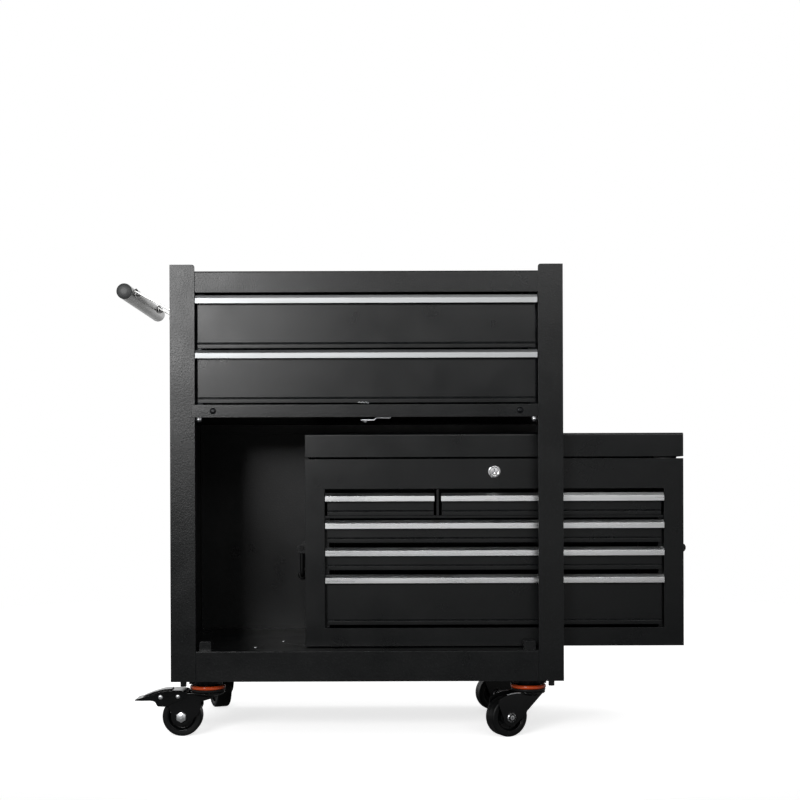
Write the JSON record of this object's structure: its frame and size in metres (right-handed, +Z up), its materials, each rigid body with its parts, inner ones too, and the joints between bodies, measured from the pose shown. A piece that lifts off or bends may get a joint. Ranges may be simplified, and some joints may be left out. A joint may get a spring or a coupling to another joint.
{
  "type": "tool cart",
  "caption": "Rolling tool cabinet on swivel casters with wide drawers over an open compartment, and a lidded drawer chest slid half way in through its open side.",
  "frame": {"origin": "on the floor under the middle of the whole object's box", "axes": "+X to the right across the drawer fronts, -Y towards the user who opens the drawers, +Z up"},
  "size_m": [0.9214, 0.4038, 0.7497],
  "materials": {
    "powder_coat": "matte black powder coat with a fine speckle",
    "satin_enamel": "satin dark grey enamel",
    "gloss_enamel": "glossy black enamel",
    "aluminium": "satin brushed",
    "zinc": "zinc plated",
    "chrome": "polished",
    "rubber": "smooth dark grey rubber",
    "plastic": "matte black",
    "orange_plastic": "smooth orange"
  },
  "bodies": {
    "cabinet": {"left_side_panel": "powder_coat", "right_side_frame": "powder_coat", "back_panel": "powder_coat", "top_panel": "powder_coat", "drawer_bay_floor": "powder_coat", "crossbar": "powder_coat", "base_pan": "powder_coat", "caster_channel_left": "powder_coat", "caster_channel_right": "powder_coat", "slide_frame_left": "zinc", "slide_frame_right": "zinc", "door_catch_strip": "zinc", "push_handle_tube": "chrome", "push_handle_cap_front": "plastic", "push_handle_cap_rear": "plastic", "push_handle_arm_front": "chrome", "push_handle_arm_rear": "chrome", "caster_plate_front_left": "zinc", "caster_plate_front_right": "zinc", "caster_plate_rear_left": "zinc", "caster_plate_rear_right": "zinc"},
    "lower_drawer": {"lower_drawer": "satin_enamel", "lower_drawer_pull": "aluminium"},
    "upper_drawer": {"upper_drawer": "satin_enamel", "upper_drawer_pull": "aluminium"},
    "chest": {"chest_case": "powder_coat", "chest_front_frame": "powder_coat", "chest_till_floor": "powder_coat", "chest_divider_shelf": "satin_enamel", "lid_hinge_rod": "zinc"},
    "lid": {"chest_lid": "powder_coat"},
    "lock": {"lock_cylinder": "chrome"},
    "left_bail": {"bail_left": "plastic"},
    "right_bail": {"bail_right": "plastic"},
    "small_drawer_left": {"small_drawer_left": "satin_enamel", "small_drawer_left_pull": "aluminium"},
    "small_drawer_middle": {"small_drawer_middle": "satin_enamel", "small_drawer_middle_pull": "aluminium"},
    "small_drawer_right": {"small_drawer_right": "satin_enamel", "small_drawer_right_pull": "aluminium"},
    "chest_drawer_upper": {"chest_drawer_upper": "satin_enamel", "chest_drawer_upper_pull": "aluminium"},
    "chest_drawer_middle": {"chest_drawer_middle": "satin_enamel", "chest_drawer_middle_pull": "aluminium"},
    "chest_drawer_bottom": {"chest_drawer_bottom": "satin_enamel", "chest_drawer_bottom_pull": "aluminium"},
    "swivel_front_left": {"fork_front_left": "gloss_enamel", "swivel_seal_front_left": "orange_plastic"},
    "roller_front_left": {"wheel_front_left": "rubber"},
    "swivel_front_right": {"fork_front_right": "gloss_enamel", "swivel_seal_front_right": "orange_plastic"},
    "roller_front_right": {"wheel_front_right": "rubber"},
    "swivel_rear_left": {"fork_rear_left": "gloss_enamel", "swivel_seal_rear_left": "orange_plastic"},
    "roller_rear_left": {"wheel_rear_left": "rubber"},
    "swivel_rear_right": {"fork_rear_right": "gloss_enamel", "swivel_seal_rear_right": "orange_plastic"},
    "roller_rear_right": {"wheel_rear_right": "rubber"},
    "pedal_front_left": {"brake_pedal_front_left": "gloss_enamel"},
    "pedal_rear_left": {"brake_pedal_rear_left": "gloss_enamel"}
  },
  "joints": [
    {"name": "upper_drawer_slide", "type": "slide", "parent": "cabinet", "child": "upper_drawer", "axis": [0, -1, 0], "range_m": [0, 0.24]},
    {"name": "lower_drawer_slide", "type": "slide", "parent": "cabinet", "child": "lower_drawer", "axis": [0, -1, 0], "range_m": [0, 0.24]},
    {"name": "chest_slide", "type": "slide", "parent": "cabinet", "child": "chest", "axis": [1, 0, 0], "range_m": [-0.188, 0.1]},
    {"name": "lid_hinge", "type": "hinge", "parent": "chest", "child": "lid", "pos_m": [0.1378, 0.10489, 0.44463], "axis": [-1, 0, 0], "range_deg": [0, 5]},
    {"name": "lock_turn", "type": "hinge", "parent": "chest", "child": "lock", "pos_m": [0.1378, -0.14941, 0.42273], "axis": [0, -1, 0], "range_deg": [0, 90]},
    {"name": "left_bail_hinge", "type": "hinge", "parent": "chest", "child": "left_bail", "pos_m": [-0.1771, -0.02441, 0.29563], "axis": [0, 1, 0], "range_deg": [0, 90]},
    {"name": "right_bail_hinge", "type": "hinge", "parent": "chest", "child": "right_bail", "pos_m": [0.4527, -0.02441, 0.29563], "axis": [0, -1, 0], "range_deg": [0, 90]},
    {"name": "small_drawer_left_slide", "type": "slide", "parent": "chest", "child": "small_drawer_left", "axis": [0, -1, 0], "range_m": [0, 0.18]},
    {"name": "small_drawer_middle_slide", "type": "slide", "parent": "chest", "child": "small_drawer_middle", "axis": [0, -1, 0], "range_m": [0, 0.026]},
    {"name": "small_drawer_right_slide", "type": "slide", "parent": "chest", "child": "small_drawer_right", "axis": [0, -1, 0], "range_m": [0, 0.026]},
    {"name": "chest_drawer_upper_slide", "type": "slide", "parent": "chest", "child": "chest_drawer_upper", "axis": [0, -1, 0], "range_m": [0, 0.026]},
    {"name": "chest_drawer_middle_slide", "type": "slide", "parent": "chest", "child": "chest_drawer_middle", "axis": [0, -1, 0], "range_m": [0, 0.026]},
    {"name": "chest_drawer_bottom_slide", "type": "slide", "parent": "chest", "child": "chest_drawer_bottom", "axis": [0, -1, 0], "range_m": [0, 0.026]},
    {"name": "swivel_turn_front_left", "type": "hinge", "parent": "cabinet", "child": "swivel_front_left", "pos_m": [-0.3244, -0.14741, 0.07003], "axis": [0, 0, 1], "continuous": true},
    {"name": "wheel_spin_front_left", "type": "hinge", "parent": "swivel_front_left", "child": "roller_front_left", "pos_m": [-0.3644, -0.14741, 0.03148], "axis": [0, -1, 0], "continuous": true},
    {"name": "swivel_turn_front_right", "type": "hinge", "parent": "cabinet", "child": "swivel_front_right", "pos_m": [0.1916, -0.14741, 0.07003], "axis": [0, 0, 1], "continuous": true},
    {"name": "wheel_spin_front_right", "type": "hinge", "parent": "swivel_front_right", "child": "roller_front_right", "pos_m": [0.15506, -0.16368, 0.03148], "axis": [0.4067, -0.9135, 0], "continuous": true},
    {"name": "swivel_turn_rear_left", "type": "hinge", "parent": "cabinet", "child": "swivel_rear_left", "pos_m": [-0.3244, 0.08859, 0.07003], "axis": [0, 0, 1], "continuous": true},
    {"name": "wheel_spin_rear_left", "type": "hinge", "parent": "swivel_rear_left", "child": "roller_rear_left", "pos_m": [-0.34003, 0.12541, 0.03148], "axis": [-0.9205, -0.3907, 0], "continuous": true},
    {"name": "swivel_turn_rear_right", "type": "hinge", "parent": "cabinet", "child": "swivel_rear_right", "pos_m": [0.1916, 0.08859, 0.07003], "axis": [0, 0, 1], "continuous": true},
    {"name": "wheel_spin_rear_right", "type": "hinge", "parent": "swivel_rear_right", "child": "roller_rear_right", "pos_m": [0.15296, 0.07824, 0.03148], "axis": [0.2588, -0.9659, 0], "continuous": true},
    {"name": "pedal_press_front_left", "type": "hinge", "parent": "swivel_front_left", "child": "pedal_front_left", "pos_m": [-0.3714, -0.14741, 0.06153], "axis": [0, -1, 0], "range_deg": [0, 7.5]},
    {"name": "pedal_press_rear_left", "type": "hinge", "parent": "swivel_rear_left", "child": "pedal_rear_left", "pos_m": [-0.34276, 0.13185, 0.06153], "axis": [-0.9205, -0.3907, 0], "range_deg": [0, 7.5]}
  ]
}
